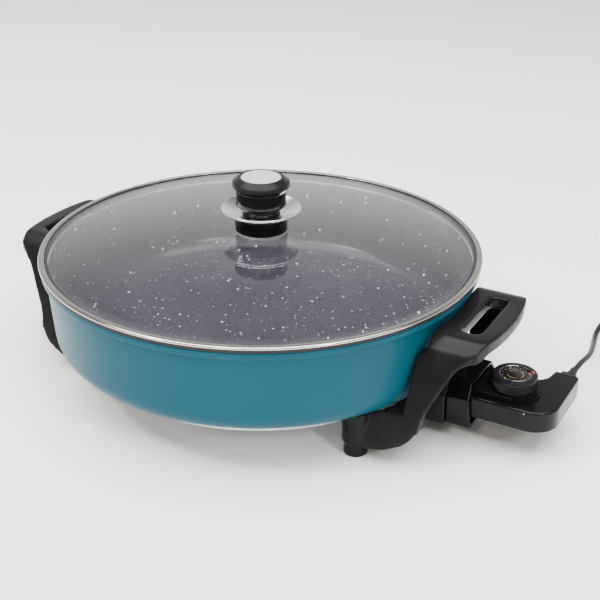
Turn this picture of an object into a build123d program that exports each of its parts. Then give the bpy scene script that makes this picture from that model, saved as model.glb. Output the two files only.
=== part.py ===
from build123d import *
import math
import os

# Round electric skillet with a glass lid and a plug-in temperature control.
# Millimetres, +Z up, z = 0 is the table under the four feet. Every piece is
# drawn about the pan's axis, and save() moves it so that the object without
# its lead is centred on x = 0.
os.makedirs("parts", exist_ok=True)

# Driving dimensions
PAN_AXIS_X = -23.0
GAP = 0.3  # between pieces that move against each other

# Pan
RIM_R = 193.5
RIM_Z = 123.0
RIM_BAND = 5.2
WALL_R = 189.5
PAN_FOOT_R = 184.0
PAN_CORNER = 22.0
UNDERSIDE_Z = 42.5
FLOOR_Z = 48.0
INNER_R = 185.6
INNER_FOOT_R = 180.5
INNER_CORNER = 18.0
LEDGE_R = 188.0
LEDGE_Z = 117.0
LEG_X = 137.0  # the four feet, each side of the pan's axis
LEG_Y = 81.0
BOSS_R = 6.0
BOSS_Z = 27.0

# Lid
RING_R = 195.0
RING_TOP = 128.3
RING_H = 2.1
RING_LIP_R = 189.8
SHEET = 0.8
GLASS = 3.4
GLASS_EDGE_Z = 123.9
GLASS_R = 193.3
SKIRT_H = 3.2
DOME_R = 186.0
DOME_TOP = 141.8
STEM_HOLE = 4.0

# Knob
COLLAR_Z = 143.3
DISH_Z = 157.4
DISH_RIM_Z = 164.0
DISH_R = 35.2
KNOB_Z = 158.6
KNOB_R = 22.0
KNOB_FLANGE_R = 25.7
KNOB_TOP = 191.4
INSERT_R = 17.6
SCREW_HOLE_R = 2.5

# Heater
HEATER_R = 156.0
HEATER_Z = 30.5
HEATER_POCKETS = ((12.0, 100.0), (124.0, 141.0))
ELEMENT_R = 112.0
TUBE_R = 4.0
PIN_R = 2.5
PIN_Y = 16.0
PROBE_Z = 36.0
PROBE_R = 3.9
PROBE_TIP_X = 121.0
WELL_R = 4.3
PIN_X = (162.0, 206.0)

# Handles
GRIP_Z = 110.5
GRIP_T = 11.0
GRIP_X = 237.0
GRIP_IN_X = 190.5
GRIP_BOW_R = 205.0
LEG_BOTTOM = 12.3
LEG_TOP = 46.0
COLUMN_R = 12.0
SLOT_X = 212.5
SLOT = (71.0, 15.5)
FOOT_R = 10.0
SCREW_R = 2.0

# Socket guard and hood
GUARD_X = (150.0, 194.7)
HOOD_X = 195.0
GUARD_SCREW_X = 145.0
GUARD_SCREW_Y = 29.0

# Control
BOX_Z = (29.5, 47.5)
BOX_X = (200.0, 283.5)
BOX_Y = 28.0
ARM_X = 262.0
ARM_Y = 50.0
BOX_WALL = 2.4
DIAL_X = 242.0
DIAL_R = 18.8
DIAL_Z = (52.0, 64.2)
SHAFT_R = 3.0

# Mains lead
LEAD_D = 5.0
LEAD_X = 272.0
LEAD_Z = 38.5
COIL_AT = (287.5, 249.0)
COIL_R = 29.0
COIL_TURNS = 3.5
PLUG_X = 325.5
PLUG_Z = 9.0


def save(name, shape):
    """Write one node, moved from the pan's axis to the part's frame."""
    export_step(Pos(PAN_AXIS_X, 0, 0) * shape, f"parts/{name}.step")


def group(solids):
    return Compound(children=list(solids))


def outline(*corners):
    """Closed face through (x, y, radius) corners; radius 0 is a sharp corner."""
    points = [(x, y) for x, y, _ in corners]
    radii = [r for _, _, r in corners]
    return make_face(FilletPolyline(*points, radius=radii, close=True))


def lathe(*corners):
    """Solid turned about the pan's axis from (radius, height, rounding) corners."""
    return revolve(Plane.XZ * outline(*corners), Axis.Z)


def slab(face, low, high):
    """Face in plan, extruded from one height to another."""
    return Pos(0, 0, low) * extrude(face, high - low)


def box(x0, x1, y0, y1, z0, z1):
    return Pos((x0 + x1) / 2, (y0 + y1) / 2, (z0 + z1) / 2) * Box(x1 - x0, y1 - y0, z1 - z0)


def rod(radius, low, high, x=0.0, y=0.0):
    """Upright cylinder between two heights."""
    return Pos(x, y, (low + high) / 2) * Cylinder(radius, high - low)


def rod_x(radius, x0, x1, y, z):
    """Cylinder along X between two stations."""
    return Pos((x0 + x1) / 2, y, z) * Rot(0, 90, 0) * Cylinder(radius, x1 - x0)


def rod_y(radius, y0, y1, x, z):
    """Cylinder along Y between two stations."""
    return Pos(x, (y0 + y1) / 2, z) * Rot(90, 0, 0) * Cylinder(radius, y1 - y0)


def four_legs():
    return [(sx * LEG_X, sy * LEG_Y) for sx in (-1, 1) for sy in (-1, 1)]


# Pan ---------------------------------------------------------------------
def pan_outside(grow=0.0):
    """Solid form of the pan's outside, grown by a clearance."""
    return lathe(
        (0, UNDERSIDE_Z - grow, 0),
        (PAN_FOOT_R + grow, UNDERSIDE_Z - grow, PAN_CORNER + grow),
        (WALL_R + grow, RIM_Z - RIM_BAND - 2.5 - grow, 0),
        (RIM_R + grow, RIM_Z - RIM_BAND - grow, 0),
        (RIM_R + grow, RIM_Z, 0),
        (0, RIM_Z, 0),
    )


def make_pan():
    cup = lathe(
        (0, UNDERSIDE_Z, 0),
        (PAN_FOOT_R, UNDERSIDE_Z, PAN_CORNER),
        (WALL_R, RIM_Z - RIM_BAND - 2.5, 2.0),
        (RIM_R, RIM_Z - RIM_BAND, 1.5),
        (RIM_R, RIM_Z, 1.2),
        (LEDGE_R, RIM_Z, 0.8),
        (LEDGE_R, LEDGE_Z, 0.6),
        (INNER_R, LEDGE_Z - 0.6, 0.8),
        (INNER_FOOT_R, FLOOR_Z, INNER_CORNER),
        (0, FLOOR_Z, 0),
    )
    for x, y in four_legs():
        cup += rod(BOSS_R, BOSS_Z, FLOOR_Z - 2, x, y)
    for x, y in four_legs():
        cup -= rod(SCREW_R, BOSS_Z, FLOOR_Z - 1.5, x, y)
    save("pan_body", cup)


# Heater ------------------------------------------------------------------
def element_path(side):
    """Half of the element: a cold end along X, a bend and half of the ring."""
    bend_r = 12.0
    bend_y = PIN_Y + bend_r
    bend_x = math.sqrt((ELEMENT_R + bend_r) ** 2 - bend_y**2)
    turn = math.degrees(math.atan2(bend_y, bend_x))
    cold_end = Line((PIN_X[0], -PIN_Y), (bend_x, -PIN_Y))
    bend = CenterArc((bend_x, -bend_y), bend_r, 90, 90 - turn)
    half_ring = CenterArc((0, 0), ELEMENT_R, -turn, turn - 180)
    path = Pos(0, 0, PROBE_Z) * Wire([cold_end.edge(), bend.edge(), half_ring.edge()])
    return path if side < 0 else mirror(path, about=Plane.XZ)


def element_tube(radius):
    halves = []
    for side in (-1, 1):
        path = element_path(side)
        section = Plane(origin=path @ 0, z_dir=path % 0) * Circle(radius)
        halves.append(sweep(section, path))
    return halves[0] + halves[1]


def make_heater():
    plate = rod(HEATER_R, HEATER_Z, UNDERSIDE_Z)
    plate = fillet(plate.faces().sort_by(Axis.Z)[0].edges(), 2.5)
    for inner, outer in HEATER_POCKETS:
        pocket = rod(outer, HEATER_Z + 3, UNDERSIDE_Z + 1) - rod(inner, HEATER_Z + 2, UNDERSIDE_Z + 2)
        plate -= pocket - box(100, 160, -26, 26, HEATER_Z, UNDERSIDE_Z + 1)
    plate += box(118, 168, -10.5, 10.5, HEATER_Z - 1, UNDERSIDE_Z) - pan_outside(0.0)
    plate -= rod_x(WELL_R, 118, 170, 0, PROBE_Z)
    plate -= element_tube(TUBE_R + 0.05)
    for y in (-GUARD_SCREW_Y, GUARD_SCREW_Y):
        plate -= rod(1.6, HEATER_Z - 1, HEATER_Z + 8, GUARD_SCREW_X, y)
    for x, y in four_legs():
        plate -= rod(COLUMN_R + 0.8, HEATER_Z - 5, UNDERSIDE_Z + 1, x, y)
    save("heater_plate", plate)
    save("heating_element", element_tube(TUBE_R))


def make_pins():
    pins = []
    collars = []
    for y in (-PIN_Y, PIN_Y):
        pin = rod_x(PIN_R, PIN_X[0] + 0.02, PIN_X[1], y, PROBE_Z)
        tip = pin.edges().filter_by(GeomType.CIRCLE).sort_by(Axis.X)[-1]
        pins.append(fillet(tip, 1.6))
        bead = rod_x(5.2, PIN_X[0] + 0.02, PIN_X[0] + 9, y, PROBE_Z)
        bead += rod_x(3.9, PIN_X[0] + 8, PIN_X[0] + 12, y, PROBE_Z)
        collars.append(bead - rod_x(PIN_R, PIN_X[0] - 1, PIN_X[0] + 13, y, PROBE_Z))
    save("terminal_pins", group(pins))
    save("pin_insulators", group(collars))


# Handles -----------------------------------------------------------------
def handle_front():
    """The handle seen along X: a flat grip between two splayed legs."""
    low = GRIP_Z - GRIP_T
    half = [
        (60, GRIP_Z, 24),
        (90.5, LEG_BOTTOM - 1, 0),
        (69.5, LEG_BOTTOM - 1, 0),
        (69.5, 38, 12),
        (50.5, low, 13),
    ]
    return outline(*half, *[(-y, z, r) for y, z, r in reversed(half)])


def handle_side():
    """The handle seen along Y: grip outside, S-shaped leg, foot under the pan."""
    inside = GRIP_IN_X - 4
    return outline(
        (inside, GRIP_Z, 0),
        (GRIP_X + 8, GRIP_Z, 0),
        (GRIP_X + 8, 97, 0),
        (215.5, 94, 16),
        (191, 44, 50),
        (191, 27, 26),
        (162, LEG_BOTTOM, 46),
        (127, LEG_BOTTOM, 5),
        (127, LEG_TOP, 0),
        (176, LEG_TOP, 0),
        (180, 96, 0),
        (inside, 98, 0),
    )


def handle_plan():
    """The handle seen from above: a bowed grip that draws in at the bends."""
    half_w = 44.5
    bow = GRIP_X - GRIP_BOW_R + math.sqrt(GRIP_BOW_R**2 - half_w**2)
    edge = ThreePointArc((bow, -half_w), (GRIP_X, 0), (bow, half_w))
    half = [(bow, half_w), (227.5, 58), (212, 68), (190, 100), (100, 100)]
    sides = Polyline(*half, *[(x, -y) for x, y in reversed(half)])
    return make_face(edge + sides)


def make_handle(name, turn):
    body = Pos(110, 0, 0) * extrude(Plane.YZ * handle_front(), 150)
    body = body & (Pos(0, 120, 0) * extrude(Plane.XZ * handle_side(), 240))
    body = body & slab(handle_plan(), -1, 130)
    slot = Pos(SLOT_X, 0, 0) * RectangleRounded(SLOT[1], SLOT[0], 6)
    body -= slab(slot, 60, 130)
    rims = [e for e in body.edges() if abs(e.center().Y) < 37 and abs(e.center().X - SLOT_X) < 8.5]
    body = fillet([e for e in rims if abs(abs(e.center().Z - GRIP_Z + GRIP_T / 2) - GRIP_T / 2) < 0.2], 1.5)
    room = pan_outside(0.8) + rod(HEATER_R + 0.8, HEATER_Z - 0.5, UNDERSIDE_Z)
    for y in (-LEG_Y, LEG_Y):
        column = rod(COLUMN_R, LEG_BOTTOM, UNDERSIDE_Z - 0.8, LEG_X, y)
        body += column
        room -= column
    body -= room
    for y in (-LEG_Y, LEG_Y):
        body -= rod(BOSS_R + 0.05, BOSS_Z, 60, LEG_X, y)
        body -= rod(SCREW_R + 0.3, 0, 60, LEG_X, y)
        body -= rod(FOOT_R - 2.4, 0, LEG_BOTTOM + 6, LEG_X, y)
    save(name, Rot(0, 0, turn) * body)


def make_feet():
    feet = []
    screws = []
    for x, y in four_legs():
        foot = rod(FOOT_R, 0, LEG_BOTTOM, x, y)
        foot = chamfer(foot.faces().sort_by(Axis.Z)[0].edges(), 1.2)
        foot += rod(FOOT_R - 2.5, LEG_BOTTOM, LEG_BOTTOM + 6, x, y)
        foot -= rod(5.0, -1, 6, x, y)
        foot -= rod(SCREW_R + 0.05, 0, LEG_BOTTOM + 7, x, y)
        feet.append(foot)
        screw = rod(SCREW_R, 6, FLOOR_Z - 2, x, y) + rod(4.2, 2.6, 6, x, y)
        cross = box(x - 2.4, x + 2.4, y - 0.5, y + 0.5, 2, 4.2)
        cross += box(x - 0.5, x + 0.5, y - 2.4, y + 2.4, 2, 4.2)
        screws.append(screw - cross)
    save("feet", group(feet))
    save("handle_screws", group(screws))


# Lid ---------------------------------------------------------------------
def dome_radius(rise, half_width):
    return (half_width**2 + rise**2) / (2 * rise)


def dome_cap(top, half_width, edge_z):
    """Solid spherical cap, flat underneath."""
    radius = dome_radius(top - edge_z, half_width)
    ball = Pos(0, 0, top - radius) * Sphere(radius)
    return ball & rod(half_width, edge_z, top + 1)


def make_lid_glass():
    glass = rod(GLASS_R, GLASS_EDGE_Z, GLASS_EDGE_Z + GLASS)
    glass += dome_cap(DOME_TOP, DOME_R, GLASS_EDGE_Z + GLASS)
    glass -= dome_cap(DOME_TOP - GLASS, DOME_R - GLASS, GLASS_EDGE_Z)
    glass -= rod(STEM_HOLE, GLASS_EDGE_Z, DOME_TOP + 5)
    save("lid_glass", glass)


def make_lid_ring():
    low = RING_TOP - RING_H
    ring = lathe(
        (RING_R, RING_TOP - 1.3, 0),
        (RING_R, low, 0),
        (RING_R - SHEET, low, 0),
        (RING_R - SHEET, RING_TOP - SHEET - 0.5, 0),
        (RING_R - SHEET - 0.5, RING_TOP - SHEET, 0),
        (RING_LIP_R, RING_TOP - SHEET, 0),
        (RING_LIP_R, RING_TOP, 0),
        (RING_R - 1.3, RING_TOP, 0),
        (RING_R - 0.4, RING_TOP - 0.4, 0),
    )
    save("lid_rim_ring", ring)


def make_lid_gasket():
    low = RIM_Z + GAP
    skirt_r = LEDGE_R - 0.4
    seal = lathe(
        (RING_R - SHEET - 0.5, RING_TOP - SHEET, 0),
        (RING_R - SHEET, RING_TOP - SHEET - 0.5, 0),
        (RING_R - SHEET, RING_TOP - RING_H, 0),
        (RING_R - 0.4, RING_TOP - RING_H, 0),
        (RING_R - 0.4, low, 0.5),
        (skirt_r, low, 0),
        (skirt_r, low - SKIRT_H, 0.3),
        (skirt_r - 1.0, low - SKIRT_H, 0.3),
        (skirt_r - 1.0, GLASS_EDGE_Z, 0),
        (GLASS_R, GLASS_EDGE_Z, 0),
        (GLASS_R, GLASS_EDGE_Z + GLASS, 0),
        (RING_LIP_R - 0.6, GLASS_EDGE_Z + GLASS, 0),
        (RING_LIP_R - 0.6, RING_TOP - SHEET, 0),
    )
    save("lid_rim_gasket", seal)


def make_knob_stack():
    glass_top = dome_cap(DOME_TOP, DOME_R, GLASS_EDGE_Z + GLASS)
    gasket = rod(23.7, DOME_TOP - 1, COLLAR_Z) - glass_top - rod(3.1, 130, 170)
    save("knob_gasket", gasket)
    collar = lathe(
        (3.1, COLLAR_Z, 0),
        (23.0, COLLAR_Z, 0.8),
        (23.2, COLLAR_Z + 9.0, 0.5),
        (22.4, COLLAR_Z + 9.7, 0),
        (22.4, COLLAR_Z + 10.9, 0),
        (23.0, COLLAR_Z + 11.5, 0.5),
        (22.6, DISH_Z - 0.2, 0.8),
        (3.1, DISH_Z - 0.2, 0),
    )
    save("knob_collar", collar)
    dish = lathe(
        (3.1, DISH_Z - 0.2, 0),
        (23.0, DISH_Z - 0.2, 8),
        (DISH_R - 0.4, DISH_RIM_Z - 2.0, 0),
        (DISH_R, DISH_RIM_Z - 1.0, 0.6),
        (DISH_R - 0.3, DISH_RIM_Z, 0.5),
        (DISH_R - 2.0, DISH_RIM_Z - 0.9, 0),
        (22.6, DISH_Z + 0.9, 8),
        (3.1, DISH_Z + 0.9, 0),
    )
    save("knob_finger_guard", dish)
    knob = lathe(
        (0, KNOB_Z - 0.1, 0),
        (17.0, KNOB_Z - 0.1, 0),
        (15.8, KNOB_Z + 2.4, 3),
        (20.4, KNOB_Z + 6.2, 3),
        (KNOB_R, KNOB_Z + 8.6, 1),
        (KNOB_R, KNOB_TOP - 11.6, 2),
        (KNOB_FLANGE_R, KNOB_TOP - 7.2, 2),
        (KNOB_FLANGE_R - 0.3, KNOB_TOP - 4.4, 1.5),
        (19.6, KNOB_TOP, 2),
        (INSERT_R, KNOB_TOP, 0.3),
        (INSERT_R, KNOB_TOP - 1.6, 0),
        (0, KNOB_TOP - 1.6, 0),
    )
    knob -= rod(SCREW_HOLE_R, KNOB_Z - 1, KNOB_TOP - 12.6)
    save("knob", knob)
    insert = rod(INSERT_R - 0.05, KNOB_TOP - 1.6, KNOB_TOP - 0.2)
    insert = fillet(insert.faces().sort_by(Axis.Z)[-1].edges(), 0.5)
    save("knob_insert", insert)


def make_knob_fixing():
    inner_top = DOME_TOP - GLASS
    seal_low = inner_top - 2.4
    washer_low = seal_low - 1.4
    washer = rod(11, washer_low, seal_low) - rod(3.0, washer_low - 1, seal_low + 1)
    seal = rod(12.5, seal_low, inner_top + 1) - dome_inside() - rod(3.0, seal_low - 1, inner_top + 2)
    save("lid_lower_washer", washer)
    save("lid_lower_gasket", seal)
    screw = rod(SCREW_HOLE_R - 0.05, washer_low, KNOB_TOP - 13.6)
    screw += rod(5.0, washer_low - 3, washer_low)
    screw -= box(-4, 4, -0.6, 0.6, washer_low - 4, washer_low - 1.6)
    save("knob_screw", screw)


def dome_inside():
    """Glass and everything above its inner surface near the axis."""
    radius = dome_radius(DOME_TOP - 2 * GLASS - GLASS_EDGE_Z + GLASS, DOME_R - GLASS)
    ball = Pos(0, 0, DOME_TOP - GLASS - radius) * Sphere(radius)
    return rod(20, 130, 150) - ball


# Socket guard and hood ---------------------------------------------------
def shroud_face(half_w, low, high, cut):
    """Cross-section of guard and hood: a box with its two top corners cut."""
    return outline(
        (-half_w, low, 1.5),
        (half_w, low, 1.5),
        (half_w, high - cut, 1.0),
        (half_w - 0.8 * cut, high, 1.5),
        (-half_w + 0.8 * cut, high, 1.5),
        (-half_w, high - cut, 1.0),
    )


def shroud(half_w, low, high, cut, x0, x1):
    return Pos(x0, 0, 0) * extrude(Plane.YZ * shroud_face(half_w, low, high, cut), x1 - x0)


def make_guard():
    low = HEATER_Z - 3
    guard = shroud(34.0, 18.0, 57.0, 12.0, *GUARD_X)
    guard -= shroud(31.5, 20.5, 54.5, 11.0, GUARD_X[0] - 1, GUARD_X[1] + 1)
    screws = []
    for y in (-GUARD_SCREW_Y, GUARD_SCREW_Y):
        guard += box(138, GUARD_X[0] + 3, y - 5, y + 5, low, HEATER_Z)
        guard += box(GUARD_X[0], GUARD_X[0] + 3, y - 5, y + 5, 19, HEATER_Z)
        guard -= rod(1.7, 20, 40, GUARD_SCREW_X, y)
        shank = rod(1.55, low, HEATER_Z + 7, GUARD_SCREW_X, y)
        screws.append(shank + rod(3.0, low - 2, low, GUARD_SCREW_X, y))
    guard -= pan_outside(0.6)
    guard -= rod(HEATER_R + 0.5, HEATER_Z, 60)
    save("socket_guard", guard)
    save("guard_screws", group(screws))


def make_hood():
    hood = shroud(32.0, 19.5, 56.5, 11.0, HOOD_X, 224)
    mouth = outline((213.0, 60, 0), (240, 60, 0), (240, 10, 0), (218.4, 10, 0))
    hood -= Pos(0, 60, 0) * extrude(Plane.XZ * mouth, 120)
    hood -= shroud(29.4, 22.0, 54.0, 10.0, HOOD_X + 3, 230)
    nose = box(176.5, HOOD_X + 1, -26, 26, 25.5, 45.5)
    nose = fillet(nose.edges().filter_by(Axis.X), 4)
    hood += nose
    for y in (-PIN_Y, PIN_Y):
        hood -= rod_x(4.1, 178.5, 200, y, PROBE_Z)
        hood -= rod_x(3.2, 170, 200, y, PROBE_Z)
    hood -= rod_x(PROBE_R, 170, 200, 0, PROBE_Z)
    save("control_hood", hood)


# Control -----------------------------------------------------------------
def control_plan(inset=0.0):
    """L-shaped plan of the control: a body and an arm that carries the lead."""
    return outline(
        (BOX_X[0] + inset, -BOX_Y + inset, 1.0),
        (BOX_X[1] - inset, -BOX_Y + inset, 22.0 - inset),
        (BOX_X[1] - inset, ARM_Y - inset, max(4.0 - inset, 0.8)),
        (ARM_X + inset, ARM_Y - inset, max(3.0 - inset, 0.8)),
        (ARM_X - 3.5 + inset, BOX_Y - inset, 12.0 + inset),
        (BOX_X[0] + inset, BOX_Y - inset, 1.0),
    )


def plinth(radius, low, high):
    """Raised step round the dial that runs on to the hood."""
    round_end = rod(radius, low, high, DIAL_X, 0)
    return round_end + box(206, DIAL_X, -radius, radius, low, high)


def cover_screw_places():
    return [(222.0, -21.0), (222.0, 21.0), (271.0, -17.5), (266.0, 33.0)]


def make_housing():
    low, high = BOX_Z
    shell = slab(control_plan(), low, high)
    top = shell.faces().sort_by(Axis.Z)[-1].edges()
    shell = fillet(top, 2.2)
    shell += plinth(22.6, high - 1, high + 2.0)
    shell += plinth(20.6, high + 1, high + 4.0)
    shell -= slab(control_plan(BOX_WALL), low - 1, high - BOX_WALL)
    for x, y in cover_screw_places():
        shell += rod(3.2, low + 2.6, high - BOX_WALL + 0.2, x, y)
        shell -= rod(1.3, low, high - 5, x, y)
    shell -= rod(SHAFT_R + GAP, high - 5, high + 6, DIAL_X, 0)
    shell -= rod_x(6.2, BOX_X[0] - 1, BOX_X[0] + 4, 0, PROBE_Z)
    for y in (-PIN_Y, PIN_Y):
        shell -= rod_x(4.3, BOX_X[0] - 1, BOX_X[0] + 4, y, PROBE_Z)
    shell -= box(LEAD_X - 4, LEAD_X + 4, ARM_Y - 4, ARM_Y + 1, LEAD_Z - 4, LEAD_Z + 4)
    save("control_housing", shell)
    cover = slab(control_plan(BOX_WALL + 0.1), low, low + 2.4)
    cover -= rod_x(6.2, BOX_X[0], BOX_X[0] + 7, 0, PROBE_Z)
    screws = []
    for x, y in cover_screw_places():
        cover -= rod(1.5, low - 1, low + 5, x, y) + rod(2.8, low - 1, low + 1.4, x, y)
        screws.append(rod(1.25, low + 1.4, high - 6, x, y) + rod(2.6, low, low + 1.4, x, y))
    save("control_base_cover", cover)
    save("cover_screws", group(screws))


def make_probe():
    tube = rod_x(PROBE_R - 0.05, PROBE_TIP_X, 206, 0, PROBE_Z)
    tip = tube.edges().filter_by(GeomType.CIRCLE).sort_by(Axis.X)[0]
    tube = fillet(tip, 2.6)
    tube -= rod_x(2.6, PROBE_TIP_X + 3, 207, 0, PROBE_Z)
    tube += rod_x(6.0, 203.5, 205, 0, PROBE_Z) - rod_x(2.6, 200, 207, 0, PROBE_Z)
    save("probe_tube", tube)
    save("expansion_rod", rod_x(1.9, PROBE_TIP_X + 3.05, 214, 0, PROBE_Z))
    sleeves = []
    for y in (-PIN_Y, PIN_Y):
        sleeve = rod_x(3.9, 179, 209, y, PROBE_Z) - rod_x(PIN_R + GAP, 178, 207, y, PROBE_Z)
        tail = box(208, 215, y - 1.5, y + 1.5, PROBE_Z - 0.4, PROBE_Z + 0.4)
        sleeves.append(sleeve + tail)
    save("contact_sleeves", group(sleeves))


def make_thermostat():
    stack_x = 219.0
    foot = box(206.5, 252, -7, 7, 32.0, 33.0)
    upright = box(206.5, 207.5, -7, 7, 32.0, 43.0) - rod_x(4.2, 200, 210, 0, PROBE_Z)
    bracket = foot + upright - rod(1.55, 25, 35, stack_x, 0)
    save("thermostat_bracket", bracket)
    layers = [(33.0, 34.6), (35.1, 37.7), (38.2, 40.0)]
    spacers = [rod(4.5, a, b, stack_x, 0) - rod(1.55, 25, 50, stack_x, 0) for a, b in layers]
    save("ceramic_spacers", group(spacers))
    blades = []
    for z, length, bead in ((34.6, 30, 1.1), (37.7, 32, -1.1)):
        blade = box(stack_x - 5, stack_x + length, -4, 4, z, z + 0.5)
        blade -= rod(1.55, 25, 50, stack_x, 0)
        centre = z + 0.25 + bead / 2
        blade += rod(1.8, centre - 0.7, centre + 0.7, stack_x + 27, 0)
        blades.append(blade)
    save("thermostat_blades", group(blades))
    bolt = rod(1.5, 32.0, 42.0, stack_x, 0) + rod(3.0, 40.0, 42.3, stack_x, 0)
    save("stack_bolt", bolt)


def make_lead_wires():
    """Two insulated wires inside the control, from the lead to the sleeves."""
    low = 34.5
    outer = [(LEAD_X + 2, 45, low), (277.5, 30, low), (277, 0, low), (262, -14, low), (216, -14, low)]
    inner = [(LEAD_X - 2, 45, low), (273, 31, low), (257, 16.5, low), (216, 14, low)]
    wires = []
    for route in (outer, inner):
        path = FilletPolyline(*route, radius=6)
        section = Plane(origin=path @ 0, z_dir=path % 0) * Circle(1.1)
        wires.append(sweep(section, path))
    save("lead_wires", group(wires))


def make_dial():
    low, high = DIAL_Z
    dial = lathe(
        (0, low, 0),
        (DIAL_R - 0.6, low, 0.5),
        (DIAL_R, low + 1.0, 0.3),
        (DIAL_R - 0.6, high - 0.8, 0.8),
        (DIAL_R - 3.4, high, 0.6),
        (13.6, high, 0.0),
        (13.6, high - 2.4, 0.0),
        (0, high - 2.4, 0),
    )
    dial -= rod(SHAFT_R, low - 1, high - 4)
    place = Pos(DIAL_X, 0, 0)
    save("dial", place * dial)
    ring = lathe(
        (13.55, high + 0.1, 0.4),
        (13.55, high - 2.4, 0),
        (12.0, high - 2.4, 0),
        (12.0, high - 0.7, 0.3),
    )
    save("dial_trim_ring", place * ring)
    save("dial_scale_disc", place * rod(11.95, high - 2.4, high - 1.3))
    save("dial_shaft", place * (rod(SHAFT_R - 0.02, 46, high - 4.0) + rod(1.6, 39.0, 46)))


# Mains lead --------------------------------------------------------------
LEAD_ROUTE = [
    (272.0, 54.0, 38.5),
    (272.3, 86.0, 38.3),
    (272.4, 123.0, 29.5),
    (265.2, 164.0, 16.0),
    (257.0, 203.0, 3.6),
    (252.6, 229.0, 2.9),
    (255.0, 249.0, 3.5),
]


def corner_radii(points):
    """Largest fillet that each pair of runs takes, with room left between."""
    radii = []
    for before, here, after in zip(points, points[1:], points[2:]):
        one = Vector(*here) - Vector(*before)
        two = Vector(*after) - Vector(*here)
        half_turn = math.radians(one.get_angle(two)) / 2
        radii.append(0.45 * min(one.length, two.length) / math.tan(half_turn))
    return radii


def tube(points, diameter):
    """Round tube along straight runs joined by tangent arcs."""
    radii = corner_radii(points)
    path = FilletPolyline(*points, radius=radii)
    section = Plane(origin=path @ 0, z_dir=path % 0) * Circle(diameter / 2)
    solid = sweep(section, path)
    expected = math.pi * diameter**2 / 4 * path.length
    print("lead radii", [round(r) for r in radii], "length", round(path.length, 1))
    print("lead volume", round(solid.volume), "section times length", round(expected))
    return solid


def make_lead():
    cx, cy = COIL_AT
    route = tube(LEAD_ROUTE, LEAD_D)
    tail = tube([(PLUG_X - 1.0, cy + 4, 8.4), (PLUG_X, cy - 6, 8.8), (PLUG_X, cy - 16, 9.0)], LEAD_D)
    save("mains_lead", group([route, tail]))
    coil_in, coil_out = COIL_R - 1.6 * LEAD_D, COIL_R + 1.6 * LEAD_D
    high = 2.2 * LEAD_D
    ring = lathe((coil_in, 0, 2), (coil_out, 0, 2), (coil_out, high, 3), (coil_in, high, 3))
    save("lead_coil", Pos(cx, cy, 0) * ring)
    print("lead coil", round(2 * math.pi * COIL_R * COIL_TURNS))


def make_strain_relief():
    flange = box(LEAD_X - 5.5, LEAD_X + 5.5, 45.2, 47.4, LEAD_Z - 5.5, LEAD_Z + 5.5)
    neck = box(LEAD_X - 3.9, LEAD_X + 3.9, 47, ARM_Y, LEAD_Z - 3.9, LEAD_Z + 3.9)
    block = box(LEAD_X - 6.5, LEAD_X + 6.5, ARM_Y, ARM_Y + 9, LEAD_Z - 6, LEAD_Z + 6)
    block = fillet(block.edges().filter_by(Axis.Y), 2.0)
    block = chamfer(block.faces().sort_by(Axis.Y)[-1].edges(), 1.6)
    sleeve = block + Pos(LEAD_X, ARM_Y + 16, LEAD_Z) * Rot(-90, 0, 0) * Cone(4.6, 3.3, 15)
    relief = flange + neck + sleeve
    relief -= rod_y(LEAD_D / 2 + 0.2, 53.8, 90, LEAD_X, LEAD_Z)
    relief -= rod_y(2.0, 40, 54, LEAD_X, LEAD_Z)
    save("strain_relief", relief)


def make_plug():
    cy = COIL_AT[1]
    start = cy - 16.0
    relief = Pos(PLUG_X, start - 9, PLUG_Z) * Rot(90, 0, 0) * Cone(3.9, 5.4, 18)
    body = box(PLUG_X - 12.5, PLUG_X + 12.5, start - 50, start - 18, 0, 2 * PLUG_Z)
    body = fillet(body.edges().filter_by(Axis.Y), 6)
    save("plug_body", body + relief)
    face = start - 50
    blades = [
        box(PLUG_X + dx - 0.8, PLUG_X + dx + 0.8, face - 17, face, PLUG_Z - 3.2, PLUG_Z + 3.2)
        for dx in (-6.35, 6.35)
    ]
    save("plug_blades", group(blades))


def make_tie():
    """Band round the coil's turns, standing on the table."""
    out, inn = COIL_R + 1.6 * LEAD_D + 1.4, COIL_R - 1.6 * LEAD_D - 1.4
    top = 2.2 * LEAD_D + 1.2
    loop = outline((out, 0, 0), (out, top, 2.5), (inn, top, 2.5), (inn, 0, 0))
    hole = outline((out - 1, -1, 0), (out - 1, top - 1, 2), (inn + 1, top - 1, 2), (inn + 1, -1, 0))
    band = Pos(0, 3, 0) * extrude(Plane.XZ * (loop - hole), 6)
    cx, cy = COIL_AT
    save("coil_tie", Pos(cx, cy, 0) * Rot(0, 0, 60) * band)


make_pan()
make_heater()
make_pins()
make_handle("handle_right", 0)
make_handle("handle_left", 180)
make_feet()
make_lid_glass()
make_lid_ring()
make_lid_gasket()
make_knob_stack()
make_knob_fixing()
make_guard()
make_hood()
make_housing()
make_probe()
make_thermostat()
make_lead_wires()
make_dial()
make_lead()
make_strain_relief()
make_plug()
make_tie()
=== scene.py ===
import math

import bmesh
import bpy
from mathutils import Matrix, Vector


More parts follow.
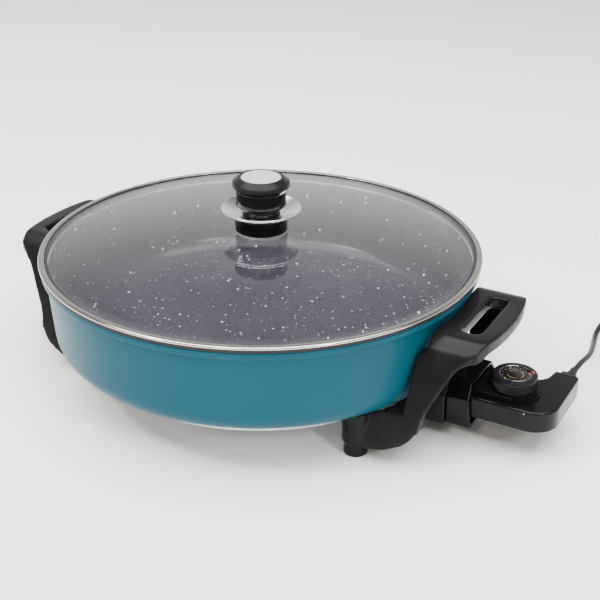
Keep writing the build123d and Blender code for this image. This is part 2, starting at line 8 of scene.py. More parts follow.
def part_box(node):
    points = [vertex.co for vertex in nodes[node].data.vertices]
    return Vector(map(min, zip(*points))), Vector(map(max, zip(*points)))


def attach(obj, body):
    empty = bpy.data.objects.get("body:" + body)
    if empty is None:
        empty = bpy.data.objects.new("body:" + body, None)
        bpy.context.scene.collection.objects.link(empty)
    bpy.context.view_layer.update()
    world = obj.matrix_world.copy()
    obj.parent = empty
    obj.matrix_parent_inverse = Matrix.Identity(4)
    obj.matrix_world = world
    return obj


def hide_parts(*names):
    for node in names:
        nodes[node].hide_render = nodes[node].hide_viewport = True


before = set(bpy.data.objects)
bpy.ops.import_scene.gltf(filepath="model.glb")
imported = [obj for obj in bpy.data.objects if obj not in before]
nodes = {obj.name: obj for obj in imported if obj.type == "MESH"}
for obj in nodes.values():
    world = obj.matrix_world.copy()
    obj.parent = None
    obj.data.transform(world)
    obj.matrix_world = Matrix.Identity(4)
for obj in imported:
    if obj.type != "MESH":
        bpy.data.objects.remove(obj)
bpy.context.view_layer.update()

MM = 0.001
AXIS_X = -23.0  # the pan's axis in the frame, mm

# Driving dimensions in mm, the radii and x from the pan's axis. They match the
# CAD; heights that the CAD already holds are read from it by heights().
UNDERSIDE_Z = 42.5
FLOOR_Z = 48.0
PAN_FOOT_R = 184.0
PAN_CORNER = 22.0
WALL_R = 189.5
RIM_R = 193.5
RIM_BAND = 5.2
LEDGE_R = 188.0
LEDGE_DEEP = 6.0
INNER_R = 185.6
INNER_FOOT_R = 180.5
INNER_CORNER = 18.0
LEG_X, LEG_Y = 137.0, 81.0
BOSS_R, BOSS_TALL, BOSS_MIDDLE_Z = 6.0, 17.0, 35.6

GLASS = 3.4
GLASS_R = 193.3
DOME_R = 186.0
RING_R = 195.0
RING_LIP_R = 189.8
RING_SHEET = 0.7
SEAL_GAP = 0.3

KNOB_R = 22.0
KNOB_FLANGE_R = 25.7
KNOB_RECESS_R = 17.6
PLATE_R = 35.2
PLATE_HOLE_R = 3.1
PLATE_SHEET = 1.1

DIAL = (242.0, 0.0)
DIAL_LOW, DIAL_TOP, DIAL_R = 52.0, 64.2, 18.8
DIAL_RECESS_R, DIAL_RECESS_Z = 13.6, 61.8
KNURL_RIDGES = 60
KNURL_DEEP = 0.75
KNURL_TOP = 60.9
FACE_Z = 62.9
PRINT_THICK = 0.05

LEAD_D = 5.0
LEAD_X, LEAD_Y, LEAD_Z = 272.0, 54.0, 38.5
COIL_AT = (287.5, 249.0)
COIL_R = 29.0
COIL_TURNS, POINTS_PER_TURN = 3, 12
PLUG_X, PLUG_Z = 325.5, 9.0

# Camera
AZIMUTH, ELEVATION, ROLL = 28.494, 26.143, 0.472  # degrees
CAMERA_AIM = (37.48, 3.5, 80.0)
CAMERA_DISTANCE = 1.04112  # metres
SENSOR = 36.0
FOCAL_SHARE = 1162.62 / 600.0  # focal length over picture width


def at(x, y, z):
    """Point given from the pan's axis in millimetres, in the frame in metres."""
    return Vector(((x + AXIS_X) * MM, y * MM, z * MM))


def heights(node):
    """Lowest and highest z of a CAD node at rest, in mm."""
    low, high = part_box(node)
    return low[2] / MM, high[2] / MM


# Camera --------------------------------------------------------------------
def make_camera():
    azimuth, elevation, roll = (math.radians(a) for a in (AZIMUTH, ELEVATION, ROLL))
    back = Vector(
        (
            math.sin(azimuth) * math.cos(elevation),
            -math.cos(azimuth) * math.cos(elevation),
            math.sin(elevation),
        )
    )
    camera = bpy.data.objects.new("camera", bpy.data.cameras.new("camera"))
    bpy.context.scene.collection.objects.link(camera)
    camera.location = at(*CAMERA_AIM) + back * CAMERA_DISTANCE
    turn = (-back).to_track_quat("-Z", "Y").to_matrix().to_4x4()
    spin = Matrix.Rotation(roll, 4, "Z")
    camera.matrix_world = Matrix.Translation(camera.location) @ turn @ spin
    camera.data.sensor_width = SENSOR
    camera.data.lens = SENSOR * FOCAL_SHARE
    camera.data.clip_start = 0.05
    camera.data.clip_end = 50.0
    bpy.context.scene.camera = camera


# Objects -------------------------------------------------------------------
def add_object(name, data, body=None, materials=()):
    thing = bpy.data.objects.new(name, data)
    bpy.context.scene.collection.objects.link(thing)
    for m in materials:
        data.materials.append(m)
    if body:
        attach(thing, body)
    return thing


def finish_mesh(name, bm, body, materials, sharp=35.0):
    """Mesh object from a bmesh, smooth but for edges sharper than an angle."""
    bmesh.ops.recalc_face_normals(bm, faces=bm.faces)
    mesh = bpy.data.meshes.new(name)
    bm.to_mesh(mesh)
    bm.free()
    mesh.shade_smooth()
    mesh.set_sharp_from_angle(angle=math.radians(sharp))
    return add_object(name, mesh, body, materials)


def rounded(corners, steps=5):
    """Closed outline from (a, b, radius, ...) corners with each corner rounded.

    Anything after the radius is kept with every point made at that corner."""
    made = []
    count = len(corners)
    for i, corner in enumerate(corners):
        here = Vector(corner[:2])
        before = Vector(corners[i - 1][:2]) - here
        after = Vector(corners[(i + 1) % count][:2]) - here
        radius = corner[2]
        half = before.angle(after) / 2
        cut = radius / math.tan(half) if radius else 0.0
        if cut < 1e-6:
            made.append((here.x, here.y, *corner[3:]))
            continue
        start = here + before.normalized() * cut
        end = here + after.normalized() * cut
        centre = here + (before.normalized() + after.normalized()).normalized() * radius / math.sin(half)
        a, b = start - centre, end - centre
        sweep = a.angle_signed(b)
        for k in range(steps + 1):
            t = sweep * k / steps
            p = centre + Matrix.Rotation(-t, 2) @ a
            made.append((p.x, p.y, *corner[3:]))
    return made


def lathe(name, corners, body, materials, centre=(0.0, 0.0), segments=192, steps=5, wave=None, sharp=35.0):
    """Solid of revolution from closed (radius, height, rounding, slot) corners in mm.

    wave(radius, height, angle) may add to a point's radius."""
    profile = rounded([(*c, 0)[:4] if len(c) == 3 else c for c in corners], steps)
    bm = bmesh.new()
    rings = []
    for point in profile:
        r, z = point[0], point[1]
        if r < 1e-6:
            rings.append([bm.verts.new(at(centre[0], centre[1], z))])
            continue
        ring = []
        for k in range(segments):
            angle = 2 * math.pi * k / segments
            reach = r + (wave(r, z, angle) if wave else 0.0)
            ring.append(
                bm.verts.new(at(centre[0] + reach * math.cos(angle), centre[1] + reach * math.sin(angle), z))
            )
        rings.append(ring)
    for i, (point, low) in enumerate(zip(profile, rings)):
        high = rings[(i + 1) % len(rings)]
        if len(low) == 1 and len(high) == 1:
            continue
        for k in range(segments):
            n = (k + 1) % segments
            if len(low) == 1:
                face = bm.faces.new((low[0], high[n], high[k]))
            elif len(high) == 1:
                face = bm.faces.new((low[k], low[n], high[0]))
            else:
                face = bm.faces.new((low[k], low[n], high[n], high[k]))
            face.material_index = point[2]
    return finish_mesh(name, bm, body, materials, sharp)


def prism(name, outline, low, high, body, materials):
    """Upright prism on a plan outline in mm."""
    bm = bmesh.new()
    base = [bm.verts.new(at(x, y, low)) for x, y in outline]
    bottom = bm.faces.new(base)
    top = bmesh.ops.extrude_face_region(bm, geom=[bottom])
    moved = [g for g in top["geom"] if isinstance(g, bmesh.types.BMVert)]
    bmesh.ops.translate(bm, verts=moved, vec=(0, 0, (high - low) * MM))
    return finish_mesh(name, bm, body, materials)


# Materials -----------------------------------------------------------------
def new_material(name, colour, roughness, metallic=0.0, **more):
    material = bpy.data.materials.new(name)
    material.use_nodes = True
    shader = material.node_tree.nodes["Principled BSDF"]
    shader.inputs["Base Color"].default_value = (*colour, 1.0)
    shader.inputs["Roughness"].default_value = roughness
    shader.inputs["Metallic"].default_value = metallic
    for key, value in more.items():
        shader.inputs[key.replace("_", " ")].default_value = value
    return material


def node(material, kind, **settings):
    made = material.node_tree.nodes.new(kind)
    for key, value in settings.items():
        if key in made.inputs:
            made.inputs[key].default_value = value
        else:
            setattr(made, key, value)
    return made


def link(material, start, end):
    material.node_tree.links.new(start, end)


def shader_of(material):
    return material.node_tree.nodes["Principled BSDF"]


def drive(material, socket, value):
    """Feeds one input of the material's shader from an output."""
    link(material, value, shader_of(material).inputs[socket])


def place_of(material, stretch=(1.0, 1.0, 1.0), shift=(0.0, 0.0, 0.0)):
    """Object coordinates, stretched and shifted, as a vector output."""
    where = node(material, "ShaderNodeTexCoord")
    mapping = node(material, "ShaderNodeMapping")
    mapping.inputs["Scale"].default_value = stretch
    mapping.inputs["Location"].default_value = shift
    link(material, where.outputs["Object"], mapping.inputs["Vector"])
    return mapping.outputs["Vector"]


def noise(material, scale, detail=3.0, vector=None, roughness=0.5):
    made = node(material, "ShaderNodeTexNoise", Scale=scale, Detail=detail, Roughness=roughness)
    link(material, vector or place_of(material), made.inputs["Vector"])
    return made.outputs["Fac"]


def span(material, value, low, high, from_low=0.0, from_high=1.0):
    """Maps a value onto a range of numbers."""
    made = node(material, "ShaderNodeMapRange")
    made.inputs["From Min"].default_value = from_low
    made.inputs["From Max"].default_value = from_high
    made.inputs["To Min"].default_value = low
    made.inputs["To Max"].default_value = high
    link(material, value, made.inputs["Value"])
    return made.outputs["Result"]


def ramp(material, value, *stops):
    """Colour ramp through (position, colour) stops."""
    made = node(material, "ShaderNodeValToRGB")
    elements = made.color_ramp.elements
    while len(elements) < len(stops):
        elements.new(0.5)
    for element, (position, colour) in zip(elements, stops):
        element.position = position
        element.color = (*colour, 1.0)
    link(material, value, made.inputs["Fac"])
    return made.outputs["Color"]


def mix(material, factor, one, two, blend="MIX"):
    """Mix of two colours, each an output or three numbers."""
    made = node(material, "ShaderNodeMix", data_type="RGBA", blend_type=blend)
    if isinstance(factor, float):
        made.inputs["Factor"].default_value = factor
    else:
        link(material, factor, made.inputs["Factor"])
    for key, value in ((6, one), (7, two)):
        if isinstance(value, tuple):
            made.inputs[key].default_value = (*value, 1.0)
        else:
            link(material, value, made.inputs[key])
    return made.outputs[2]


def bump(material, height, strength, distance):
    made = node(material, "ShaderNodeBump")
    made.inputs["Strength"].default_value = strength
    made.inputs["Distance"].default_value = distance * MM
    link(material, height, made.inputs["Height"])
    link(material, made.outputs["Normal"], shader_of(material).inputs["Normal"])


def math_node(material, operation, one, two=None):
    made = node(material, "ShaderNodeMath", operation=operation)
    for key, value in ((0, one), (1, two)):
        if value is None:
            continue
        if isinstance(value, (int, float)):
            made.inputs[key].default_value = value
        else:
            link(material, value, made.inputs[key])
    return made.outputs[0]


def speckles(material, scale, share, size, shift):
    """Mask of small irregular specks: share of the cells hold one, of a size."""
    cells = node(material, "ShaderNodeTexVoronoi", Scale=scale)
    link(material, place_of(material, shift=shift), cells.inputs["Vector"])
    split = node(material, "ShaderNodeSeparateColor")
    link(material, cells.outputs["Color"], split.inputs["Color"])
    chosen = math_node(material, "LESS_THAN", split.outputs[0], share)
    grain = math_node(material, "MULTIPLY", split.outputs[1], size)
    near = math_node(material, "LESS_THAN", cells.outputs["Distance"], grain)
    return math_node(material, "MULTIPLY", chosen, near)


def enamel():
    """Teal enamel outside the pan: smooth, a little orange peel, a soft sheen."""
    m = new_material("teal_enamel", (0.03, 0.17, 0.23), 0.3, Specular_IOR_Level=0.07)
    tone = ramp(m, noise(m, 9.0, 2.0), (0.3, (0.005, 0.063, 0.092)), (0.7, (0.007, 0.069, 0.1)))
    drive(m, "Base Color", tone)
    drive(m, "Roughness", span(m, noise(m, 60.0, 4.0), 0.26, 0.36))
    bump(m, noise(m, 420.0, 2.0), 0.08, 0.25)
    return m


def granite():
    """Grey-violet non-stick coating with light and dark flecks."""
    m = new_material("granite_coating", (0.12, 0.115, 0.14), 0.38, Specular_IOR_Level=0.25)
    ground = ramp(m, noise(m, 14.0, 6.0), (0.3, (0.019, 0.0165, 0.024)), (0.7, (0.026, 0.0235, 0.032)))
    fine = ramp(m, noise(m, 900.0, 2.0), (0.42, (0.7, 0.7, 0.7)), (0.6, (1.12, 1.12, 1.14)))
    ground = mix(m, 1.0, ground, fine, "MULTIPLY")
    dark = speckles(m, 620.0, 0.3, 0.42, (0.3, 0.1, 0.0))
    ground = mix(m, dark, ground, (0.011, 0.010, 0.013))
    faint = speckles(m, 480.0, 0.22, 0.44, (0.7, 0.4, 0.2))
    ground = mix(m, faint, ground, (0.036, 0.033, 0.043))
    small = speckles(m, 420.0, 0.05, 0.5, (0.2, 0.9, 0.5))
    ground = mix(m, small, ground, (0.3, 0.3, 0.33))
    large = speckles(m, 330.0, 0.03, 0.42, (0.0, 0.0, 0.0))
    ground = mix(m, large, ground, (0.75, 0.75, 0.8))
    drive(m, "Base Color", ground)
    drive(m, "Roughness", span(m, noise(m, 80.0, 4.0), 0.2, 0.3))
    bump(m, noise(m, 700.0, 3.0), 0.08, 0.15)
    return m


def bright_edge():
    """Machined aluminium where the coatings stop."""
    m = new_material("machined_edge", (0.62, 0.62, 0.63), 0.28, 1.0)
    rings = noise(m, 40.0, 4.0, place_of(m, (1.0, 1.0, 60.0)))
    drive(m, "Roughness", span(m, rings, 0.2, 0.4))
    return m


def cast_aluminium():
    m = new_material("cast_aluminium", (0.72, 0.72, 0.74), 0.42, 0.85)
    tone = ramp(m, noise(m, 120.0, 5.0), (0.35, (0.62, 0.62, 0.64)), (0.65, (0.78, 0.78, 0.8)))
    drive(m, "Base Color", tone)
    bump(m, noise(m, 500.0, 4.0), 0.25, 0.3)
    return m


def plastic(name, colour, roughness, grain, shine=0.25):
    """Moulded plastic: colour and gloss vary slightly, with a fine mould grain."""
    m = new_material(name, colour, roughness, Specular_IOR_Level=shine)
    light = tuple(min(1.0, c * 1.35 + 0.002) for c in colour)
    drive(m, "Base Color", ramp(m, noise(m, 30.0, 4.0), (0.35, colour), (0.7, light)))
    patches = span(m, noise(m, 55.0, 5.0), roughness * 0.8, roughness * 1.3)
    drive(m, "Roughness", patches)
    bump(m, noise(m, 900.0, 3.0), grain, 0.12)
    return m


def steel(name, colour, roughness, stretch, strength=0.06, metallic=1.0, vary=0.3):
    """Steel with fine brush lines along one direction."""
    m = new_material(name, colour, roughness, metallic)
    lines = noise(m, 300.0, 5.0, place_of(m, stretch))
    drive(m, "Roughness", span(m, lines, roughness * (1 - vary), roughness * (1 + vary)))
    bump(m, lines, strength, 0.05)
    return m


def clear_glass():
    """Tempered glass, faintly grey, with very slight waves."""
    m = new_material("clear_glass", (0.96, 0.975, 0.975), 0.0, 0.0, Transmission_Weight=1.0, IOR=1.5)
    bump(m, noise(m, 12.0, 2.0), 0.02, 1.0)
    return m


def rubber(name, colour, roughness=0.55, grain=0.25, shine=0.2):
    m = new_material(name, colour, roughness, Specular_IOR_Level=shine)
    light = tuple(c * 1.5 for c in colour)
    drive(m, "Base Color", ramp(m, noise(m, 90.0, 5.0), (0.35, colour), (0.75, light)))
    drive(m, "Roughness", span(m, noise(m, 150.0, 4.0), roughness - 0.08, roughness + 0.12))
    bump(m, noise(m, 1200.0, 3.0), grain, 0.1)
    return m


def paint(name, colour, roughness=0.5):
    """Printed or filled mark, a little uneven."""
    m = new_material(name, colour, roughness)
    worn = tuple(c * 0.75 for c in colour)
    drive(m, "Base Color", ramp(m, noise(m, 500.0, 3.0), (0.35, worn), (0.6, colour)))
    return m


# Mains lead ----------------------------------------------------------------
def lead_points():
    """Control points of the lead, in mm: route, coil's turns, tail to the plug."""
    points = [
        (LEAD_X, LEAD_Y, LEAD_Z),
        (272.3, 86.0, 38.3),
        (272.4, 123.0, 29.5),
        (265.2, 164.0, 16.0),
        (257.0, 203.0, 3.6),
        (252.6, 229.0, 2.9),
    ]
    first, last = COIL_R + 1.5 * LEAD_D, COIL_R - 1.5 * LEAD_D
    cx, cy = COIL_AT
    count = COIL_TURNS * POINTS_PER_TURN
    for k in range(1, count + 1):
        angle = math.pi - 2 * math.pi * k / POINTS_PER_TURN
        r = (first + (last - first) * k / count) / math.cos(math.pi / POINTS_PER_TURN)
        points.append((cx + r * math.cos(angle), cy + r * math.sin(angle), 3.3))
    points += [
        (cx - 19.7, cy + 21.3, 3.6),
        (cx - 3.0, cy + 32.1, 7.4),
        (cx + 18.3, cy + 26.0, 8.6),
        (cx + 26.1, cy + 5.8, 8.6),
        (cx + 34.0, cy - 4.5, 8.8),
        (PLUG_X, cy - 16.0, PLUG_Z),
    ]
    return points


def make_lead(body, cover):
    points = lead_points()
    curve = bpy.data.curves.new("mains_lead_flex", "CURVE")
    curve.dimensions = "3D"
    spline = curve.splines.new("NURBS")
    spline.points.add(len(points) - 1)
    for p, (x, y, z) in zip(spline.points, points):
        p.co = (*at(x, y, z), 1.0)
    spline.order_u = 3
    spline.use_endpoint_u = True
    spline.resolution_u = 8
    curve.bevel_depth = LEAD_D / 2 * MM
    curve.bevel_resolution = 5
    lead = add_object("mains_lead_flex", curve, body, [cover])
    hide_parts("mains_lead", "lead_coil")
    return lead


make_camera()
lead_cover = rubber("lead_cover", (0.0095, 0.009, 0.0105), 0.42, 0.1, 0.12)
lead = make_lead("control", lead_cover)

# Materials used ------------------------------------------------------------
teal = enamel()
coating = granite()
edge_metal = bright_edge()
base_metal = cast_aluminium()
gloss_black = plastic("gloss_black_plastic", (0.004, 0.0036, 0.0046), 0.1, 0.003, 0.13)
handle_black = plastic("handle_black_plastic", (0.0066, 0.0058, 0.0064), 0.2, 0.004, 0.1)
satin_black = plastic("satin_black_plastic", (0.006, 0.0056, 0.0064), 0.3, 0.03, 0.12)
matte_black = plastic("matte_black_plastic", (0.006, 0.0056, 0.0064), 0.4, 0.08, 0.14)
dial_black = plastic("dial_black_plastic", (0.007, 0.0065, 0.008), 0.28, 0.01, 0.15)
ring_steel = steel("ring_steel", (0.5, 0.47, 0.435), 0.13, (0.2, 0.2, 40.0), 0.0, vary=0.1)
polished_plate = steel("polished_plate", (0.92, 0.88, 0.86), 0.18, (1.0, 1.0, 8.0), 0.01, vary=0.2)
satin_insert = steel("satin_insert", (0.52, 0.51, 0.515), 0.5, (14.0, 1.0, 1.0), 0.12, 0.35)
screw_steel = steel("screw_steel", (0.6, 0.59, 0.58), 0.3, (3.0, 3.0, 12.0), 0.08)
probe_steel = steel("probe_steel", (0.66, 0.65, 0.63), 0.24, (60.0, 2.0, 2.0), 0.05)
brass = steel("spring_brass", (0.72, 0.53, 0.24), 0.3, (10.0, 2.0, 2.0), 0.05)
ceramic = plastic("white_ceramic", (0.78, 0.75, 0.69), 0.5, 0.2, 0.5)
silicone = rubber("grey_silicone", (0.16, 0.16, 0.165), 0.45, 0.1)
black_rubber = rubber("black_rubber", (0.012, 0.012, 0.013), 0.5, 0.2)
glass = clear_glass()


# Pan -----------------------------------------------------------------------
def make_pan():
    OUT, BARE, IN = 0, 1, 2
    rim = heights("pan_body")[1]
    pan = lathe(
        "skillet_pan",
        [
            (0, UNDERSIDE_Z, 0, OUT),
            (PAN_FOOT_R, UNDERSIDE_Z, PAN_CORNER, OUT),
            (WALL_R, rim - RIM_BAND - 2.5, 2.0, OUT),
            (RIM_R, rim - RIM_BAND, 1.5, OUT),
            (RIM_R, rim, 1.2, OUT),
            (LEDGE_R, rim, 0.8, IN),
            (LEDGE_R, rim - LEDGE_DEEP, 0.6, BARE),
            (INNER_R, rim - LEDGE_DEEP - 0.6, 0.8, IN),
            (INNER_FOOT_R, FLOOR_Z, INNER_CORNER, IN),
            (0, FLOOR_Z, 0, IN),
        ],
        "base",
        [teal, edge_metal, coating],
        segments=288,
        steps=8,
    )
    bm = bmesh.new()
    bm.from_mesh(pan.data)
    radius = BOSS_R * MM
    for x in (-LEG_X, LEG_X):
        for y in (-LEG_Y, LEG_Y):
            boss = bmesh.ops.create_cone(
                bm, cap_ends=True, segments=32, radius1=radius, radius2=radius, depth=BOSS_TALL * MM
            )
            bmesh.ops.translate(bm, verts=boss["verts"], vec=at(x, y, BOSS_MIDDLE_Z))
    bm.to_mesh(pan.data)
    bm.free()
    pan.data.shade_smooth()
    pan.data.set_sharp_from_angle(angle=math.radians(35))
    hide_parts("pan_body")


make_pan()


# Lid -----------------------------------------------------------------------
def dome(height, radius, edge_z, count=28):
    """Points (r, z) of a shallow dome from its edge to its middle."""
    ball = (radius**2 + (height - edge_z) ** 2) / (2 * (height - edge_z))
    points = []
    for k in range(count + 1):
        r = radius * (1 - k / count)
        points.append((r, height - ball + math.sqrt(ball**2 - r**2), 0, 0))
    return points


def make_lid():
    low, top = heights("lid_glass")
    edge = low + GLASS
    outer = dome(top, DOME_R, edge)
    inner = dome(top - GLASS, DOME_R - GLASS, low)[::-1]
    pane = lathe(
        "lid_pane",
        [(GLASS_R, low, 0.8, 0), (GLASS_R, edge, 0.8, 0)] + outer + inner,
        "lid",
        [glass],
        segments=256,
        steps=4,
        sharp=30.0,
    )
    pane.visible_shadow = False
    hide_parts("lid_glass")
    ring_low, ring_top = heights("lid_rim_ring")
    ring = lathe(
        "lid_ring",
        [
            (RING_R, ring_top, 1.3, 0),
            (RING_R, ring_low, 0.4, 0),
            (RING_R - RING_SHEET, ring_low, 0, 0),
            (RING_R - RING_SHEET, ring_top - RING_SHEET, 0.4, 0),
            (RING_LIP_R, ring_top - RING_SHEET, 0, 0),
            (RING_LIP_R, ring_top, 0.3, 0),
        ],
        "lid",
        [ring_steel],
        segments=288,
    )
    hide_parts("lid_rim_ring")
    skirt, bulge = heights("lid_rim_gasket")
    rest = heights("pan_body")[1] + SEAL_GAP
    seal = lathe(
        "lid_seal",
        [
            (RING_R - 0.8, ring_top - 0.8, 0, 0),
            (RING_R - 0.8, ring_low, 0, 0),
            (RING_R - 0.4, ring_low - 0.2, 0.1, 0),
            (RING_R - 0.4, rest, 0.7, 0),
            (LEDGE_R - 0.4, rest, 0, 0),
            (LEDGE_R - 0.4, skirt, 0.4, 0),
            (LEDGE_R - 1.4, skirt, 0.4, 0),
            (LEDGE_R - 1.4, low, 0, 0),
            (GLASS_R, low, 0, 0),
            (GLASS_R, edge, 0, 0),
            (RING_LIP_R - 0.9, edge, 0, 0),
            (RING_LIP_R - 0.9, bulge, 0.1, 0),
        ],
        "lid",
        [black_rubber],
        segments=256,
    )
    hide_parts("lid_rim_gasket")


make_lid()


# Knob ----------------------------------------------------------------------
def make_knob():
    low, top = heights("knob")
    GLOSS, SATIN = 0, 1
    knob = lathe(
        "lid_knob",
        [
            (0, low, 0, GLOSS),
            (17.0, low, 0.5, GLOSS),
            (15.8, low + 2.5, 3, GLOSS),
            (20.4, low + 6.3, 3, GLOSS),
            (KNOB_R, low + 8.7, 1, GLOSS),
            (KNOB_R, top - 11.6, 3, GLOSS),
            (KNOB_FLANGE_R, top - 7.2, 2, SATIN),
            (KNOB_FLANGE_R - 0.5, top - 4.0, 2.2, SATIN),
            (19.6, top, 2.4, SATIN),
            (KNOB_RECESS_R, top, 0.3, SATIN),
            (KNOB_RECESS_R, top - 1.6, 0, SATIN),
            (0, top - 1.6, 0, SATIN),
        ],
        "lid",
        [gloss_black, satin_black],
        segments=128,
        steps=10,
    )
    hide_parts("knob")
    low, top = heights("knob_finger_guard")
    plate = lathe(
        "knob_plate",
        [
            (PLATE_HOLE_R, low, 0, 0),
            (23.0, low, 8, 0),
            (PLATE_R - 0.4, top - 2.0, 0.3, 0),
            (PLATE_R, top - 1.0, 0.6, 0),
            (PLATE_R - 0.3, top, 0.45, 0),
            (PLATE_R - 2.0, top - 0.9, 0.5, 0),
            (22.6, low + PLATE_SHEET, 8, 0),
            (PLATE_HOLE_R, low + PLATE_SHEET, 0, 0),
        ],
        "lid",
        [polished_plate],
        segments=160,
        steps=8,
    )
    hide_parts("knob_finger_guard")
    low, top = heights("knob_insert")
    edge = KNOB_RECESS_R - 0.1
    insert = lathe(
        "knob_badge_blank",
        [(0, low, 0, 0), (edge, low, 0, 0), (edge, top, 0.6, 0), (0, top, 0, 0)],
        "lid",
        [satin_insert],
        segments=96,
    )
    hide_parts("knob_insert")


make_knob()


# Pieces kept from the CAD: painted, and the large mouldings softened ---------
def soften(name, cell, passes):
    """Rounds a CAD node's moulded edges without moving its faces."""
    thing = nodes[name]
    remesh = thing.modifiers.new("even_mesh", "REMESH")
    remesh.mode = "VOXEL"
    remesh.voxel_size = cell * MM
    remesh.use_smooth_shade = True
    relax = thing.modifiers.new("relaxed_edges", "SMOOTH")
    relax.factor = 0.5
    relax.iterations = passes


def paint_node(name, material):
    data = nodes[name].data
    data.materials.clear()
    data.materials.append(material)
    data.shade_smooth()
    data.set_sharp_from_angle(angle=math.radians(30))


for name, material in {
    "handle_left": handle_black,
    "handle_right": handle_black,
    "feet": matte_black,
    "handle_screws": screw_steel,
    "heater_plate": base_metal,
    "heating_element": screw_steel,
    "terminal_pins": probe_steel,
    "pin_insulators": ceramic,
    "socket_guard": matte_black,
    "guard_screws": screw_steel,
    "lid_lower_gasket": silicone,
    "lid_lower_washer": screw_steel,
    "knob_collar": gloss_black,
    "knob_gasket": silicone,
    "knob_screw": screw_steel,
    "control_hood": gloss_black,
    "control_housing": gloss_black,
    "control_base_cover": matte_black,
    "cover_screws": screw_steel,
    "probe_tube": probe_steel,
    "expansion_rod": brass,
    "contact_sleeves": brass,
    "thermostat_bracket": screw_steel,
    "thermostat_blades": brass,
    "ceramic_spacers": ceramic,
    "stack_bolt": screw_steel,
    "lead_wires": lead_cover,
    "strain_relief": lead_cover,
    "coil_tie": black_rubber,
    "plug_body": lead_cover,
    "plug_blades": brass,
    "dial_shaft": screw_steel,
}.items():
    paint_node(name, material)

soften("handle_left", 0.9, 12)
soften("handle_right", 0.9, 12)
soften("socket_guard", 0.8, 2)
soften("control_hood", 0.7, 2)


# Dial ----------------------------------------------------------------------
def make_dial():
    def knurl(r, z, angle):
        if r < DIAL_R - 1.2 or z > DIAL_TOP - 0.9 or z < DIAL_LOW + 0.6:
            return 0.0
        deep = KNURL_DEEP * min(1.0, max(0.0, (KNURL_TOP - z) / 0.8))
        return -deep * (0.5 + 0.5 * math.cos(KNURL_RIDGES * angle))

    side = [(DIAL_R, z, 0, 0) for z in (53.2, 54.2, 56.0, 58.0, 59.8, KNURL_TOP, 62.4)]
    knob = lathe(
        "dial_knob",
        [(0, DIAL_LOW, 0, 0), (DIAL_R - 0.6, DIAL_LOW, 0.4, 0)]
        + side
        + [
            (DIAL_R - 0.9, DIAL_TOP - 0.2, 0.4, 0),
            (15.4, DIAL_TOP, 0.5, 0),
            (DIAL_RECESS_R, DIAL_TOP, 0.2, 0),
            (DIAL_RECESS_R, DIAL_RECESS_Z, 0, 0),
            (0, DIAL_RECESS_Z, 0, 0),
        ],
        "dial",
        [dial_black],
        DIAL,
        segments=720,
        steps=4,
        wave=knurl,
        sharp=50.0,
    )
    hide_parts("dial")
    ring = lathe(
        "dial_ring",
        [
            (DIAL_RECESS_R - 0.05, DIAL_TOP + 0.05, 0.35, 0),
            (DIAL_RECESS_R - 0.05, DIAL_RECESS_Z, 0, 0),
            (DIAL_RECESS_R - 0.8, DIAL_RECESS_Z, 0, 0),
            (DIAL_RECESS_R - 0.8, DIAL_TOP - 0.3, 0.25, 0),
        ],
        "dial",
        [ring_steel],
        DIAL,
        segments=128,
    )
    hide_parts("dial_trim_ring")
    edge = DIAL_RECESS_R - 0.85
    disc = lathe(
        "dial_face",
        [(0, DIAL_RECESS_Z, 0, 0), (edge, DIAL_RECESS_Z, 0, 0), (edge, FACE_Z, 0.3, 0), (0, FACE_Z, 0, 0)],
        "dial",
        [plastic("dial_face_black", (0.008, 0.006, 0.007), 0.16, 0.02, 0.4)],
        DIAL,
        segments=96,
    )
    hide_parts("dial_scale_disc")


make_dial()


def arc_band(name, radius, width, start, end, material, z=FACE_Z):
    """Thin printed arc on the dial, angles in degrees."""
    bm = bmesh.new()
    steps = max(2, int(abs(end - start) / 4))
    rows = []
    for k in range(steps + 1):
        a = math.radians(start + (end - start) * k / steps)
        row = []
        for r in (radius - width / 2, radius + width / 2):
            row.append(bm.verts.new(at(DIAL[0] + r * math.cos(a), DIAL[1] + r * math.sin(a), z)))
        rows.append(row)
    for one, two in zip(rows, rows[1:]):
        bm.faces.new((one[0], one[1], two[1], two[0]))
    flat = bmesh.ops.extrude_face_region(bm, geom=bm.faces[:])
    moved = [g for g in flat["geom"] if isinstance(g, bmesh.types.BMVert)]
    bmesh.ops.translate(bm, verts=moved, vec=(0, 0, PRINT_THICK * MM))
    return finish_mesh(name, bm, "dial", [material])


gold = paint("gold_print", (0.36, 0.25, 0.1), 0.35)
white_print = paint("white_print", (0.2, 0.195, 0.185))
red_print = paint("red_print", (0.42, 0.05, 0.06))
arc_band("scale_arc_low", 6.6, 0.4, 205, 300, gold)
arc_band("scale_arc_high", 6.6, 0.4, -25, 70, gold)
for number, angle in enumerate(range(104, 156, 16)):
    arc_band(f"scale_dash_{number}", 6.6, 0.4, angle - 4, angle + 4, gold)
arc_band("off_mark", 11.9, 1.5, 22, 40, red_print)
arc_band("off_pointer", 14.9, 1.9, 24, 38, red_print, DIAL_TOP)
for number, angle in enumerate(range(60, 370, 25)):
    arc_band(f"scale_tick_{number}", 10.6, 1.0, angle - 1.6, angle + 1.6, white_print)


# Small marks on the control ----------------------------------------------------
def make_control_marks():
    """Fine moulded ribs on the front face of the control, and a white dot there that is a painted glint of
    the top front edge.
    """
    for number in range(7):
        x = 247.6 + number * 1.45
        outline = [(x, -28.2), (x + 0.6, -28.2), (x + 0.6, -27.8), (x, -27.8)]
        prism(f"front_rib_{number}", outline, 35.8, 43.6, "control", [satin_black])
    # White dot in print colour: a painted highlight standing in for the glint on the top front edge, not a
    # lamp or a part.
    bead = lathe(
        "painted_glint_dot",
        [(0, 44.4, 0, 0), (0.9, 44.4, 0.3, 0), (0.9, 45.9, 0.5, 0), (0, 45.9, 0, 0)],
        "control",
        [white_print],
        centre=(260.4, -27.4),
        segments=24,
    )


make_control_marks()


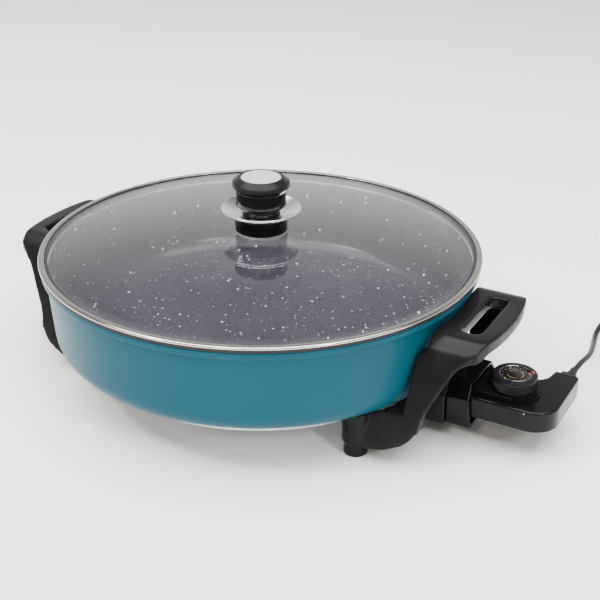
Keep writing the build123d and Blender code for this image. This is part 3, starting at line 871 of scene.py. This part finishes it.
# Studio ----------------------------------------------------------------------
def area_light(name, place, target, size, power, colour=(1.0, 1.0, 1.0)):
    data = bpy.data.lights.new(name, "AREA")
    data.shape = "RECTANGLE"
    data.size, data.size_y = size
    data.energy = power
    data.color = colour
    lamp = bpy.data.objects.new(name, data)
    bpy.context.scene.collection.objects.link(lamp)
    lamp.location = place
    aim = Vector(target) - Vector(place)
    lamp.rotation_mode = "QUATERNION"
    lamp.rotation_quaternion = aim.to_track_quat("-Z", "Y")


def make_stage():
    size = 4.0
    bm = bmesh.new()
    corners = [bm.verts.new((x * size, y * size, 0.0)) for x, y in ((-1, -1), (1, -1), (1, 1), (-1, 1))]
    bm.faces.new(corners)
    white = new_material("studio_white", (0.93, 0.93, 0.93), 0.7)
    tone = ramp(white, noise(white, 2.0, 2.0), (0.3, (0.92, 0.92, 0.92)), (0.7, (0.94, 0.94, 0.94)))
    drive(white, "Base Color", tone)
    floor = finish_mesh("studio_floor", bm, None, [white])
    make_world()
    area_light("overhead_soft", (0.0, -0.4, 2.4), (0.0, -0.4, 0.0), (3.8, 3.0), 290.0)
    area_light("key_left", (-0.95, -1.3, 1.9), (0.0, 0.0, 0.08), (0.28, 0.28), 26.0, (1.0, 0.95, 0.86))
    area_light("key_front", (0.35, -1.75, 1.3), (0.1, 0.0, 0.08), (0.3, 0.3), 9.0, (1.0, 0.88, 0.68))
    area_light("fill_right", (1.9, -1.0, 1.5), (0.0, 0.0, 0.08), (0.25, 0.4), 24.0)


def make_world():
    """Soft studio surroundings: bright low behind the object, dim in front."""
    world = bpy.data.worlds.new("studio_world")
    world.use_nodes = True
    tree = world.node_tree
    where = tree.nodes.new("ShaderNodeTexCoord")
    height = tree.nodes.new("ShaderNodeSeparateXYZ")
    tree.links.new(where.outputs["Generated"], height.inputs["Vector"])
    fade = tree.nodes.new("ShaderNodeValToRGB")
    elements = fade.color_ramp.elements
    stops = ((0.05, 0.5), (0.26, 0.42), (0.35, 0.36), (0.44, 0.3), (0.57, 0.16), (0.75, 0.06))
    while len(elements) < len(stops):
        elements.new(0.5)
    for element, (position, grey) in zip(elements, stops):
        element.position = position
        element.color = (grey, grey, grey, 1.0)
    tree.links.new(height.outputs["Z"], fade.inputs["Fac"])
    behind = tree.nodes.new("ShaderNodeVectorMath")
    behind.operation = "DOT_PRODUCT"
    behind.inputs[1].default_value = (-0.47, 0.88, 0.0)
    tree.links.new(where.outputs["Generated"], behind.inputs[0])
    share = tree.nodes.new("ShaderNodeMapRange")
    share.inputs["From Min"].default_value = -0.6
    share.inputs["From Max"].default_value = 0.6
    share.inputs["To Min"].default_value = 0.5
    share.inputs["To Max"].default_value = 2.6
    tree.links.new(behind.outputs["Value"], share.inputs["Value"])
    tree.links.new(fade.outputs["Color"], tree.nodes["Background"].inputs["Color"])
    tree.links.new(share.outputs["Result"], tree.nodes["Background"].inputs["Strength"])
    bpy.context.scene.world = world


make_stage()
